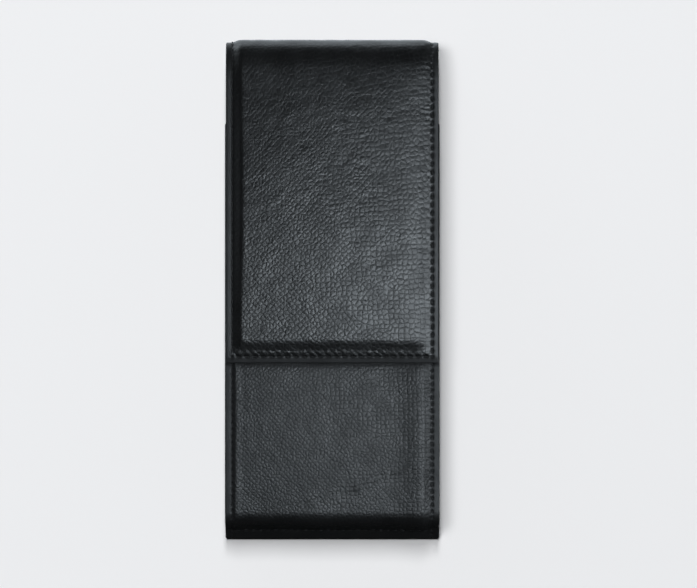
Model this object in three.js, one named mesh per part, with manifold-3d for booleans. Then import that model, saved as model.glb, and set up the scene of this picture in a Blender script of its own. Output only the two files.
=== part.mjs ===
// A slim black leather flap case, lying on its back: a gusseted pocket, a folding spine and a long padded flap.
// Millimetres. X runs across the case, Y along it towards the fold, Z up through its thickness.
// The origin is under the middle of the case, on the surface that it lies on.
import * as THREE from 'three';
import { mergeVertices } from 'three/addons/utils/BufferGeometryUtils.js';
import Module from 'manifold-3d';

// Driving dimensions
const LENGTH = 160;
const FLAP_WIDTH = 68; // also the width of the back and the spine, which are one hide with the flap
const POCKET_WIDTH = 68.6; // the front panel stands out a little on each side of the flap
const FRONT_LEVEL = 15.6; // outer face of the front panel
const FLAP_LEVEL = 17.7; // outer face of the flap's sewn margin
const PADDING_RISE = 1.2; // how far the padded middle of the flap stands above its margin
const MOUTH_Y = 53; // the pocket's mouth, under the flap
const FLAP_EDGE_Y = -23.25; // the flap's free edge
const LEATHER = 1.2;
const BOARD = 0.7; // stiffening board, gusset leather and joining strip
const LINING = 0.6;
const LAYER_GAP = 0.05;

// Seams
const SEAM_INSET = 2.1; // from a cut edge to its row of stitches
const THREAD_WIDTH = 0.7;
const THREAD_DEPTH = 0.35;
const GROOVE_WIDTH = 1;
const GROOVE_DEPTH = 0.5;

// Folds
const SPINE_RADIUS = 6; // outer radius of both folds of the spine
const SPINE_GAP = 1; // from the spine's leather to the back's and to the flap's
const ARC_STEP = Math.PI / 16;

// Worked out from the above
const TOP_Y = LENGTH / 2;
const BOTTOM_Y = -LENGTH / 2;
const FLAP_HALF = FLAP_WIDTH / 2;
const POCKET_HALF = POCKET_WIDTH / 2;
const SEAM_X = FLAP_HALF - SEAM_INSET;
const SPINE_Y = TOP_Y - SPINE_RADIUS;
const HINGED_EDGE_Y = SPINE_Y - SPINE_GAP;
const SECOND_LAYER = LEATHER + LAYER_GAP;
const THIRD_LAYER = SECOND_LAYER + BOARD + LAYER_GAP;
const INNER_FACE = THIRD_LAYER + LINING;

// The front panel's outer face, seen from the side: level, down the bottom slope, then out along the sewn margin.
const SLOPE_TOP = [-72.9, FRONT_LEVEL];
const SLOPE_FOOT = [-76.2, 6.4];
const MARGIN_END = [BOTTOM_Y + 0.3, 2.4];
const SLOPE_TOP_RADIUS = 3;
const SLOPE_FOOT_RADIUS = 1;
const BOTTOM_SEAM_FROM_FOOT = 0.9;

// Gussets: flanges sewn under the front's margins and on the back's, joined by a wall folded inwards
const FLANGE_INNER_X = 29.8;
const GUSSET_FOLD_X = 28.2;
const GUSSET_WALL_X = 30.4;
const LAYER_HALF = FLANGE_INNER_X - 0.4; // boards and linings end beside the flanges
const SLOPE_HALF = GUSSET_FOLD_X - 0.4; // down the bottom slope they end beside the folded walls

const FACING_WIDTH = 11;
const PADDING_BEVEL = 3.2;
const PADDING_MARGIN = 3; // from the flap's cut edges to the foot of the padding's bevel
const PADDING_MARGIN_END = 4.6;
const PADDING_GAP = 0.03;

const wasm = await Module();
wasm.setup();

const leather = new THREE.MeshStandardMaterial({ color: 0x1b1d1f, roughness: 0.45, metalness: 0 });
const gussetLeather = new THREE.MeshStandardMaterial({ color: 0x191a1c, roughness: 0.5, metalness: 0 });
const liningLeather = new THREE.MeshStandardMaterial({ color: 0x242527, roughness: 0.7, metalness: 0 });
const board = new THREE.MeshStandardMaterial({ color: 0x8f8574, roughness: 0.9, metalness: 0 });
const foam = new THREE.MeshStandardMaterial({ color: 0x55575a, roughness: 0.95, metalness: 0 });
const thread = new THREE.MeshStandardMaterial({ color: 0x101113, roughness: 0.55, metalness: 0 });

// Booleans

function toSolid(geometry) {
  const bare = geometry.clone();
  bare.deleteAttribute('normal');
  bare.deleteAttribute('uv');
  const merged = mergeVertices(bare, 1e-4);
  return new wasm.Manifold(new wasm.Mesh({
    numProp: 3,
    vertProperties: new Float32Array(merged.attributes.position.array),
    triVerts: new Uint32Array(merged.index.array),
  }));
}

function toGeometry(solid) {
  const mesh = solid.getMesh();
  const geometry = new THREE.BufferGeometry();
  geometry.setAttribute('position', new THREE.BufferAttribute(mesh.vertProperties, 3));
  geometry.setIndex(new THREE.BufferAttribute(mesh.triVerts, 1));
  const flat = geometry.toNonIndexed();
  flat.computeVertexNormals();
  return flat;
}

function cut(geometry, ...tools) {
  return toGeometry(tools.reduce((left, tool) => left.subtract(toSolid(tool)), toSolid(geometry)));
}

function join(geometry, ...others) {
  return toGeometry(others.reduce((made, other) => made.add(toSolid(other)), toSolid(geometry)));
}

function common(geometry, other) {
  return toGeometry(toSolid(geometry).intersect(toSolid(other)));
}

// Shapes

function box(x0, x1, y0, y1, z0, z1) {
  const geometry = new THREE.BoxGeometry(x1 - x0, y1 - y0, z1 - z0);
  return geometry.translate((x0 + x1) / 2, (y0 + y1) / 2, (z0 + z1) / 2);
}

// A low box whose four sides lean in by inset towards the top.
function bevelledPad(x0, x1, y0, y1, z0, z1, inset) {
  const geometry = box(x0, x1, y0, y1, z0, z1);
  const position = geometry.attributes.position;
  const middleX = (x0 + x1) / 2;
  const middleY = (y0 + y1) / 2;
  for (let i = 0; i < position.count; i++) {
    if (position.getZ(i) > (z0 + z1) / 2) {
      position.setX(i, position.getX(i) - Math.sign(position.getX(i) - middleX) * inset);
      position.setY(i, position.getY(i) - Math.sign(position.getY(i) - middleY) * inset);
    }
  }
  return geometry;
}

// An outline of [y, z] points, seen from the side, carried across the case from x0 to x1.
function extrudeAcross(outline, x0, x1) {
  const shape = new THREE.Shape(outline.map(([y, z]) => new THREE.Vector2(y, z)));
  const geometry = new THREE.ExtrudeGeometry(shape, { depth: x1 - x0, bevelEnabled: false });
  const turn = new THREE.Matrix4().makeBasis(
    new THREE.Vector3(0, 1, 0),
    new THREE.Vector3(0, 0, 1),
    new THREE.Vector3(1, 0, 0),
  );
  return geometry.applyMatrix4(turn).translate(x0, 0, 0);
}

// An outline of [x, y] points, seen from above, carried up from z0 to z1.
function extrudeUp(outline, z0, z1) {
  const shape = new THREE.Shape(outline.map(([x, y]) => new THREE.Vector2(x, y)));
  return new THREE.ExtrudeGeometry(shape, { depth: z1 - z0, bevelEnabled: false }).translate(0, 0, z0);
}

// A line through corners [y, z, radius], rounded at each inner corner, as points that each
// hold the unit normal to the left. The lines run round the case so that left is inwards.
function roundedLine(corners) {
  const at = corners.map(([y, z]) => new THREE.Vector2(y, z));
  const ways = at.slice(1).map((point, i) => point.clone().sub(at[i]).normalize());
  const leftOf = (way) => new THREE.Vector2(-way.y, way.x);
  const points = [{ at: at[0], normal: leftOf(ways[0]) }];
  for (let i = 1; i < at.length - 1; i++) {
    const turn = Math.atan2(ways[i - 1].cross(ways[i]), ways[i - 1].dot(ways[i]));
    const radius = corners[i][2] * Math.sign(turn);
    const start = at[i].clone().addScaledVector(ways[i - 1], -radius * Math.tan(turn / 2));
    const first = leftOf(ways[i - 1]);
    const centre = start.addScaledVector(first, radius);
    const steps = Math.ceil(Math.abs(turn) / ARC_STEP);
    for (let step = 0; step <= steps; step++) {
      const normal = first.clone().rotateAround(new THREE.Vector2(), turn * step / steps);
      points.push({ at: centre.clone().addScaledVector(normal, -radius), normal });
    }
  }
  points.push({ at: at.at(-1), normal: leftOf(ways.at(-1)) });
  return points;
}

function offsetLine(corners, inset) {
  return roundedLine(corners).map(({ at, normal }) => at.clone().addScaledVector(normal, inset).toArray());
}

// A sheet that follows a line, between two depths below it.
function sheet(corners, outerInset, innerInset, x0, x1) {
  const outline = [...offsetLine(corners, outerInset), ...offsetLine(corners, innerInset).reverse()];
  return extrudeAcross(outline, x0, x1);
}

// The same line with both ends moved in along it.
function shortened(corners, fromStart, fromEnd) {
  const moved = (end, next, distance) => {
    const way = [next[0] - end[0], next[1] - end[1]];
    const length = Math.hypot(...way);
    return [end[0] + way[0] * distance / length, end[1] + way[1] * distance / length];
  };
  return [
    moved(corners[0], corners[1], fromStart),
    ...corners.slice(1, -1),
    moved(corners.at(-1), corners.at(-2), fromEnd),
  ];
}

const threadAlong = (corners, x) =>
  sheet(corners, 0, THREAD_DEPTH, x - THREAD_WIDTH / 2, x + THREAD_WIDTH / 2);

const grooveAlong = (corners, x) =>
  sheet(corners, -GROOVE_DEPTH, GROOVE_DEPTH, x - GROOVE_WIDTH / 2, x + GROOVE_WIDTH / 2);

// A row of stitches across a line at one place: the place is a short stretch of the line.
function rowAcross([from, to], outerInset, innerInset, width, halfLength) {
  const way = new THREE.Vector2(to[0] - from[0], to[1] - from[1]).normalize();
  const middle = new THREE.Vector2(from[0] + to[0], from[1] + to[1]).divideScalar(2);
  const ends = [-width / 2, width / 2].map((along) => middle.clone().addScaledVector(way, along).toArray());
  return sheet(ends, outerInset, innerInset, -halfLength, halfLength);
}

// A row of stitches round three sides of a panel, seen from above, open towards the spine.
function threeSidedRow(width, edgeY, openY, z0, z1) {
  const outer = SEAM_X + width / 2;
  const inner = SEAM_X - width / 2;
  const rowY = edgeY + SEAM_INSET;
  return extrudeUp([
    [-outer, openY],
    [-outer, rowY - width / 2],
    [outer, rowY - width / 2],
    [outer, openY],
    [inner, openY],
    [inner, rowY + width / 2],
    [-inner, rowY + width / 2],
    [-inner, openY],
  ], z0, z1);
}

// The space inside the pocket at one depth below its outer faces, as seen from the side.
function pocketSpace(inset, mouthY, x0, x1) {
  const margin = [MARGIN_END[0] - SLOPE_FOOT[0], MARGIN_END[1] - SLOPE_FOOT[1]];
  const beyond = [MARGIN_END[0] + margin[0], MARGIN_END[1] + margin[1]];
  const front = [[mouthY, FRONT_LEVEL], ...FRONT_LINE.slice(1, -1), beyond];
  const wedge = extrudeAcross([...offsetLine(front, inset), [mouthY, beyond[1]]], x0, x1);
  return common(wedge, box(x0, x1, BOTTOM_Y - LENGTH, TOP_Y, inset, FRONT_LEVEL));
}

// A plan that is as wide as the pocket's inside up to the mouth, and as wide as the case above it.
function backPlan(throatHalf, fromY, toY) {
  const right = [
    [LAYER_HALF, fromY],
    [LAYER_HALF, MOUTH_Y],
    [throatHalf, MOUTH_Y],
    [throatHalf, toY],
  ];
  return [...right, ...right.map(([x, y]) => [-x, y]).reverse()];
}

const FRONT_LINE = [
  [MOUTH_Y, FRONT_LEVEL],
  [...SLOPE_TOP, SLOPE_TOP_RADIUS],
  [...SLOPE_FOOT, SLOPE_FOOT_RADIUS],
  MARGIN_END,
];
const SPINE_LINE = [
  [SPINE_Y, 0],
  [TOP_Y, 0, SPINE_RADIUS],
  [TOP_Y, FLAP_LEVEL, SPINE_RADIUS],
  [SPINE_Y, FLAP_LEVEL],
];

const object = new THREE.Group();

function add(parent, name, geometry, material) {
  const mesh = new THREE.Mesh(geometry, material);
  mesh.name = name;
  parent.add(mesh);
}

// Pocket: the back lies flat, and the front and the gussets are sewn to it.
function makePocket() {
  const pocket = new THREE.Group();
  const seam = shortened(FRONT_LINE, 1.5, 0.8);
  const footToEnd = Math.hypot(MARGIN_END[0] - SLOPE_FOOT[0], MARGIN_END[1] - SLOPE_FOOT[1]);
  const bottomSeam = shortened(
    [SLOPE_FOOT, MARGIN_END],
    BOTTOM_SEAM_FROM_FOOT,
    footToEnd - BOTTOM_SEAM_FROM_FOOT - THREAD_WIDTH,
  );
  const bottomRowHalf = SEAM_X - 1.6;
  const mouthSeam = [[MOUTH_Y - SEAM_INSET, FRONT_LEVEL], [MOUTH_Y - SEAM_INSET - 1, FRONT_LEVEL]];
  const backOpenY = HINGED_EDGE_Y - 0.6;

  add(pocket, 'back_outer', cut(
    box(-FLAP_HALF, FLAP_HALF, BOTTOM_Y, HINGED_EDGE_Y, 0, LEATHER),
    threeSidedRow(GROOVE_WIDTH, BOTTOM_Y, backOpenY, -GROOVE_DEPTH, GROOVE_DEPTH),
  ), leather);
  add(pocket, 'back_thread', threeSidedRow(THREAD_WIDTH, BOTTOM_Y, backOpenY - 0.3, 0, THREAD_DEPTH), thread);
  add(pocket, 'back_board', extrudeUp(
    backPlan(FLAP_HALF - 0.6, SLOPE_TOP[0], HINGED_EDGE_Y - 1),
    SECOND_LAYER,
    SECOND_LAYER + BOARD,
  ), board);
  add(pocket, 'back_lining', extrudeUp(
    backPlan(FLAP_HALF - 0.1, SLOPE_FOOT[0] + 1, HINGED_EDGE_Y - 0.2),
    THIRD_LAYER,
    INNER_FACE,
  ), liningLeather);

  add(pocket, 'front_outer', cut(
    sheet(FRONT_LINE, 0, LEATHER, -POCKET_HALF, POCKET_HALF),
    grooveAlong(seam, -SEAM_X),
    grooveAlong(seam, SEAM_X),
    rowAcross(bottomSeam, -GROOVE_DEPTH, GROOVE_DEPTH, GROOVE_WIDTH, bottomRowHalf + 0.3),
    rowAcross(mouthSeam, -GROOVE_DEPTH, GROOVE_DEPTH, GROOVE_WIDTH, bottomRowHalf + 0.3),
  ), leather);
  for (const [side, x] of [['left', -SEAM_X], ['right', SEAM_X]]) {
    add(pocket, `front_thread_${side}`, threadAlong(shortened(seam, 0.3, 0.3), x), thread);
  }
  add(pocket, 'bottom_thread', rowAcross(bottomSeam, 0, THREAD_DEPTH, THREAD_WIDTH, bottomRowHalf), thread);
  add(pocket, 'mouth_thread', rowAcross(mouthSeam, 0, THREAD_DEPTH, THREAD_WIDTH, bottomRowHalf), thread);
  add(pocket, 'front_board', box(
    -LAYER_HALF,
    LAYER_HALF,
    SLOPE_TOP[0] + SLOPE_TOP_RADIUS,
    MOUTH_Y - 0.6,
    FRONT_LEVEL - SECOND_LAYER - BOARD,
    FRONT_LEVEL - SECOND_LAYER,
  ), board);
  const lining = common(
    sheet(shortened(FRONT_LINE, 0.2, 0), THIRD_LAYER, INNER_FACE, -LAYER_HALF, LAYER_HALF),
    box(-LAYER_HALF, LAYER_HALF, BOTTOM_Y, MOUTH_Y, INNER_FACE + 0.1, FRONT_LEVEL),
  );
  const besideGusset = (x) => box(x - 2, x + 2, BOTTOM_Y, SLOPE_TOP[0] + 3, 0, FRONT_LEVEL - INNER_FACE - 0.3);
  add(pocket, 'front_lining', cut(
    lining,
    besideGusset(SLOPE_HALF + 2),
    besideGusset(-SLOPE_HALF - 2),
  ), liningLeather);
  add(pocket, 'mouth_facing', box(
    -LAYER_HALF + 0.8,
    LAYER_HALF - 0.8,
    MOUTH_Y - FACING_WIDTH,
    MOUTH_Y - 0.2,
    FRONT_LEVEL - INNER_FACE - LAYER_GAP - BOARD,
    FRONT_LEVEL - INNER_FACE - LAYER_GAP,
  ), leather);

  // The joining strip closes the bottom: one leg inside the front's sewn margin, the other on the back.
  const stripSpace = cut(
    pocketSpace(SECOND_LAYER, MOUTH_Y, -SLOPE_HALF, SLOPE_HALF),
    pocketSpace(SECOND_LAYER + BOARD, MOUTH_Y + 1, -SLOPE_HALF - 1, SLOPE_HALF + 1),
  );
  add(pocket, 'joining_strip', common(
    stripSpace,
    box(-FLAP_HALF, FLAP_HALF, BOTTOM_Y, SLOPE_TOP[0] - 0.4, 0, FRONT_LEVEL / 2),
  ), gussetLeather);

  add(pocket, 'gusset_left', makeGusset(-1), gussetLeather);
  add(pocket, 'gusset_right', makeGusset(1), gussetLeather);
  return pocket;
}

// A gusset: its flanges run round the side of the pocket, and its wall is folded inwards along the middle.
function makeGusset(side) {
  const mouthY = MOUTH_Y - 1;
  const span = (from, to) => [side * from, side * to].sort((a, b) => a - b);
  const [flangeX0, flangeX1] = span(FLANGE_INNER_X, FLAP_HALF - 0.1);
  const flange = cut(
    pocketSpace(SECOND_LAYER, mouthY, flangeX0, flangeX1),
    pocketSpace(SECOND_LAYER + BOARD, mouthY + 1, flangeX0 - 1, flangeX1 + 1),
  );
  const low = SECOND_LAYER + BOARD / 2;
  const high = FRONT_LEVEL - SECOND_LAYER - BOARD / 2;
  const outerFace = [[GUSSET_WALL_X, low], [GUSSET_FOLD_X + BOARD, (low + high) / 2], [GUSSET_WALL_X, high]];
  const innerFace = outerFace.map(([x, z]) => [x - BOARD, z]).reverse();
  const section = [...outerFace, ...innerFace].map(([x, z]) => new THREE.Vector2(side * x, z));
  const wall = new THREE.ExtrudeGeometry(new THREE.Shape(section), {
    depth: mouthY - BOTTOM_Y,
    bevelEnabled: false,
  }).rotateX(Math.PI / 2).translate(0, mouthY, 0);
  return join(flange, common(wall, pocketSpace(SECOND_LAYER, mouthY, ...span(GUSSET_FOLD_X - 1, FLAP_HALF))));
}

// Spine: the hide folds up round the top end of the case and over onto the flap.
function makeSpine() {
  const spine = new THREE.Group();
    add(spine, 'spine_outer', cut(
    sheet(SPINE_LINE, 0, LEATHER, -FLAP_HALF, FLAP_HALF),
    grooveAlong(shortened(SPINE_LINE, -1, -1), -SEAM_X),
    grooveAlong(shortened(SPINE_LINE, -1, -1), SEAM_X),
  ), leather);
  add(spine, 'spine_lining', sheet(
    SPINE_LINE,
    SECOND_LAYER,
    SECOND_LAYER + LINING,
    -FLAP_HALF + 0.1,
    FLAP_HALF - 0.1,
  ), liningLeather);
  for (const [side, x] of [['left', -SEAM_X], ['right', SEAM_X]]) {
    add(spine, `spine_thread_${side}`, threadAlong(SPINE_LINE, x), thread);
  }
  return spine;
}

// Flap: padded in the middle, sewn flat round its edge.
function makeFlap() {
  const flap = new THREE.Group();
  const padX = FLAP_HALF - PADDING_MARGIN;
  const padY = [FLAP_EDGE_Y + PADDING_MARGIN_END, HINGED_EDGE_Y - 1.5];
  const padSpace = (shrink, z) => bevelledPad(
    -padX + shrink,
    padX - shrink,
    padY[0] + shrink,
    padY[1] - shrink,
    z,
    z + PADDING_RISE,
    PADDING_BEVEL,
  );
  const underside = FLAP_LEVEL - LEATHER;
  const openY = HINGED_EDGE_Y - 0.6;
  const leatherSheet = box(-FLAP_HALF, FLAP_HALF, FLAP_EDGE_Y, HINGED_EDGE_Y, underside, FLAP_LEVEL);
  const padded = join(leatherSheet, padSpace(0, FLAP_LEVEL));
  add(flap, 'flap_outer', cut(
    padded,
    padSpace(0.2, underside),
    threeSidedRow(GROOVE_WIDTH, FLAP_EDGE_Y, openY, FLAP_LEVEL - GROOVE_DEPTH, FLAP_LEVEL + GROOVE_DEPTH),
  ), leather);
  add(flap, 'flap_padding', padSpace(0.5, underside - PADDING_GAP), foam);
  add(flap, 'flap_lining', box(
    -FLAP_HALF + 0.1,
    FLAP_HALF - 0.1,
    FLAP_EDGE_Y + 0.1,
    HINGED_EDGE_Y - 0.2,
    underside - LAYER_GAP - LINING,
    underside - LAYER_GAP,
  ), liningLeather);
  add(flap, 'flap_thread', threeSidedRow(
    THREAD_WIDTH,
    FLAP_EDGE_Y,
    openY - 0.3,
    FLAP_LEVEL - THREAD_DEPTH,
    FLAP_LEVEL,
  ), thread);
  return flap;
}

object.add(makePocket(), makeSpine(), makeFlap());

export default object;
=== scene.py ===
"""Looks of a slim black leather flap case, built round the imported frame.

Each leather part is a closed shell over a grid of points. The shells are worked out in millimetres, in the
frame's axes: X across the case, Y along it to the fold, Z up out of its front. A line is the side view of an
outer face: points (y, z) in order, with the inside of the case to the left of the way along it. In the relief
of a face, x is the place across it and s the distance along its line.
"""
import math

import bpy
import numpy as np
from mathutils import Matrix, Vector


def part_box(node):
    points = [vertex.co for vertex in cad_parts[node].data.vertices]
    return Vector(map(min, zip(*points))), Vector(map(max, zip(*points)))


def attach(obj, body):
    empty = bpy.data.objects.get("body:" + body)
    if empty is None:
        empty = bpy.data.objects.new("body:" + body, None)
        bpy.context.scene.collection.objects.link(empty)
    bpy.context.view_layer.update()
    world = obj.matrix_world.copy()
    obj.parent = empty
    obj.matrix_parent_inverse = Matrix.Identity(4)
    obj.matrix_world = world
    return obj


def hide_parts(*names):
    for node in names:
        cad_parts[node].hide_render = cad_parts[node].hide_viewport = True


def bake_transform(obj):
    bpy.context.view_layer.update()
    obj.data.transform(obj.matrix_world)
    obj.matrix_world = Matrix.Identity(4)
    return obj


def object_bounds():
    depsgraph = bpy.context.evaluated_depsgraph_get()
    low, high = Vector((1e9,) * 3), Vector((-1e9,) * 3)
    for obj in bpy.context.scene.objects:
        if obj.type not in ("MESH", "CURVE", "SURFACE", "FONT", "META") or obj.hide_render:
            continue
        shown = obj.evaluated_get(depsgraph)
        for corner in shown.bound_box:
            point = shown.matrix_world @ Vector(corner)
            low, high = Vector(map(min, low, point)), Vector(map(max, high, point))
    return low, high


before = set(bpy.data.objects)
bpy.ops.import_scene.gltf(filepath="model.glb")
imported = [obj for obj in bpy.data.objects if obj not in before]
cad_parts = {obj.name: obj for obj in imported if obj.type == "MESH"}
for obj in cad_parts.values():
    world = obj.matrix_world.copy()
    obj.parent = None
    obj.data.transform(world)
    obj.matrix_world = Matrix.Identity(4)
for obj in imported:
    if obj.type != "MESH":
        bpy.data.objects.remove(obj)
cad_low, cad_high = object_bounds()

MM = 0.001


def box_mm(node):
    """A CAD node's lowest and highest corners, in millimetres."""
    low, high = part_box(node)
    return np.array(low) / MM, np.array(high) / MM


# ---------------- sizes, from the frame
back_low, back_high = box_mm("back_outer")
front_high = box_mm("front_outer")[1]
spine_high = box_mm("spine_outer")[1]
flap_low, flap_high = box_mm("flap_outer")

HALF = flap_high[0]
POCKET_HALF = front_high[0]
TOP_Y = spine_high[1]
BOTTOM_Y = back_low[1]
MOUTH_Y = front_high[1]
FLAP_EDGE_Y = flap_low[1]
FRONT_LEVEL = front_high[2]
FLAP_LEVEL = spine_high[2]
PADDING_RISE = flap_high[2] - FLAP_LEVEL
LEATHER = back_high[2] - back_low[2]
LINING = 0.6
LAYER_GAP = 0.05
LINING_DEPTH = LEATHER + LAYER_GAP
GUSSET = 0.7
MID_SPINE_Z = FLAP_LEVEL / 2
SEAM_INSET = 2.1
SEAM_X = HALF - SEAM_INSET
FLAP_PITCH = 2.6  # stitch lengths along the flap's, the pocket's side and its bottom rows
SIDE_PITCH = 2.15
BOTTOM_PITCH = 2.4
EDGE = 0.32  # how far a rounded cut edge stands out

# ---------------- small tools


def smoothstep(low, high, value):
    t = np.clip((value - low) / (high - low), 0, 1)
    return t * t * (3 - 2 * t)


def bump(value, centre, width):
    """1 at the centre, falling to 0 on both sides as a bell."""
    return np.exp(-(((value - centre) / width) ** 2))


class Noise:
    """Smooth noise from -1 to 1 over a plane, the same on each run for the same seed."""

    SIZE = 64

    def __init__(self, seed):
        self.values = np.random.default_rng(seed).uniform(-1, 1, (self.SIZE, self.SIZE))

    def __call__(self, x, y):
        column, row = np.floor(x).astype(int), np.floor(y).astype(int)
        across, up = x - column, y - row
        across, up = across**2 * (3 - 2 * across), up**2 * (3 - 2 * up)
        total = 0
        for down, row_share in ((0, 1 - up), (1, up)):
            for right, column_share in ((0, 1 - across), (1, across)):
                value = self.values[(row + down) % self.SIZE, (column + right) % self.SIZE]
                total = total + value * row_share * column_share
        return total


def spread(start, end, stops, step, fine_step, reach):
    """Places from start to end: about fine_step apart within reach of a stop, and step apart elsewhere."""
    places = [start]
    while places[-1] < end:
        here = places[-1]
        near = min(abs(here - stop) for stop in stops) if stops else math.inf
        blend = min(1.0, max(0.0, (near - reach) / reach))
        places.append(here + fine_step + (step - fine_step) * blend)
    places = np.array(places)
    return start + (places - start) * (end - start) / (places[-1] - start)


# ---------------- lines: side views of outer faces


class Line:
    """A side view of an outer face: points at even steps, with their distances along and outward normals."""

    STEP = 0.1

    def __init__(self, points):
        points = np.array(points, float)
        length = np.r_[0, np.cumsum(np.hypot(*np.diff(points, axis=0).T))]
        self.length = length[-1]
        self.along = np.linspace(0, self.length, int(self.length / self.STEP) + 1)
        self.points = np.stack([np.interp(self.along, length, points[:, k]) for k in (0, 1)], 1)
        way = np.gradient(self.points, axis=0)
        way /= np.linalg.norm(way, axis=1)[:, None]
        self.normals = np.stack([way[:, 1], -way[:, 0]], 1)

    def at(self, along):
        """Points and outward normals at distances along the line."""
        point = np.stack([np.interp(along, self.along, self.points[:, k]) for k in (0, 1)], -1)
        normal = np.stack([np.interp(along, self.along, self.normals[:, k]) for k in (0, 1)], -1)
        return point, normal / np.linalg.norm(normal, axis=-1, keepdims=True)

    def along_at(self, y):
        """How far along the line passes y."""
        return float(self.along[np.argmin(np.abs(self.points[:, 0] - y))])


def fillet(before, corner, after, radius, steps=16):
    """Points of the arc that rounds a corner."""
    before, corner, after = (np.array(p, float) for p in (before, corner, after))
    a = (before - corner) / np.linalg.norm(before - corner)
    b = (after - corner) / np.linalg.norm(after - corner)
    half = math.acos(np.clip(a @ b, -1, 1)) / 2
    reach = radius / math.tan(half)
    centre = corner + (a + b) / np.linalg.norm(a + b) * radius / math.sin(half)
    start, end = corner + a * reach - centre, corner + b * reach - centre
    turn = math.atan2(start[0] * end[1] - start[1] * end[0], start @ end)
    points = []
    for k in range(steps + 1):
        angle = turn * k / steps
        c, s = math.cos(angle), math.sin(angle)
        points.append(tuple(centre + (start[0] * c - start[1] * s, start[0] * s + start[1] * c)))
    return points


# ---------------- shells


def normals_of(grid):
    """The normals of a grid's outer side: a row, then a column, then the normal make a right-handed set."""
    along = np.gradient(grid, axis=0)
    across = np.gradient(grid, axis=1)
    normal = np.cross(along, across)
    return normal / np.maximum(np.linalg.norm(normal, axis=2, keepdims=True), 1e-12)


def shell(name, face, form, thickness, uv, grain=None, shade=None, edge=EDGE, flat_ends=(), rings=4):
    """A closed shell. face holds the outer face's points, form the same points without fine detail, and the
    inner face lies thickness below form. Cut edges are rounded outwards by edge, apart from flat_ends. The
    material slots are the outer face, the cut edges and the inner face."""
    inner = form - normals_of(form) * thickness
    rows, columns = face.shape[:2]
    loop = (
        [(0, j) for j in range(columns)]
        + [(i, columns - 1) for i in range(1, rows)]
        + [(rows - 1, j) for j in range(columns - 2, -1, -1)]
        + [(i, 0) for i in range(rows - 2, 0, -1)]
    )
    out = np.zeros((len(loop), 3))
    along = np.gradient(form, axis=0)
    across = np.gradient(form, axis=1)
    for k, (i, j) in enumerate(loop):
        for at_end, way, which in (
            (i == 0, -along[i, j], "start"),
            (i == rows - 1, along[i, j], "end"),
            (j == 0, -across[i, j], "left"),
            (j == columns - 1, across[i, j], "right"),
        ):
            if at_end and which not in flat_ends:
                out[k] += way / np.linalg.norm(way)
    length = np.linalg.norm(out, axis=1, keepdims=True)
    out = np.where(length > 0, out / np.maximum(length, 1e-12), 0)
    index = [i * columns + j for i, j in loop]
    top, low = face.reshape(-1, 3)[index], inner.reshape(-1, 3)[index]
    verts = [face.reshape(-1, 3)]
    for ring in range(1, rings + 1):
        angle = math.pi * ring / (rings + 1)
        middle = top * (1 + math.cos(angle)) / 2 + low * (1 - math.cos(angle)) / 2
        verts.append(middle + out * edge * math.sin(angle))
    verts.append(inner.reshape(-1, 3))
    count = rows * columns
    starts = [np.array(index)]
    starts += [count + ring * len(loop) + np.arange(len(loop)) for ring in range(rings)]
    starts.append(count + rings * len(loop) + np.array(index))
    grid = np.arange(count).reshape(rows, columns)
    quads = np.stack([grid[:-1, :-1], grid[1:, :-1], grid[1:, 1:], grid[:-1, 1:]], -1).reshape(-1, 4)
    offset = count + rings * len(loop)
    sides = []
    for upper, lower in zip(starts, starts[1:]):
        sides.append(np.stack([upper, np.roll(upper, -1), np.roll(lower, -1), lower], -1))
    faces = [quads, *sides, quads[:, ::-1] + offset]
    slots = [np.zeros(len(quads)), *[np.ones(len(side)) for side in sides], np.full(len(quads), 2)]
    faces, slots = np.concatenate(faces), np.concatenate(slots).astype(np.int32)
    on_flat = {"start": 0, "end": rows - 1}
    at_flat = np.array([any(i == on_flat[which] for which in flat_ends) for i, j in loop], bool)
    creased = np.concatenate([np.zeros(len(quads), bool), *[at_flat & np.roll(at_flat, -1)] * (rings + 1),
                              np.zeros(len(quads), bool)])
    coordinates = uv.reshape(-1, 2)
    all_uv = np.concatenate([coordinates, *[coordinates[index]] * rings, coordinates])
    obj = mesh_object(name, np.concatenate(verts), faces, slots, all_uv, ~creased)
    for label, values in (("grain", grain), ("shade", shade)):
        if values is None:
            values = np.ones((rows, columns))
        flat = values.reshape(-1)
        everywhere = np.concatenate([flat, *[flat[index]] * rings, flat])
        layer = obj.data.attributes.new(label, "FLOAT", "POINT")
        layer.data.foreach_set("value", everywhere.astype(np.float32))
    return obj


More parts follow.
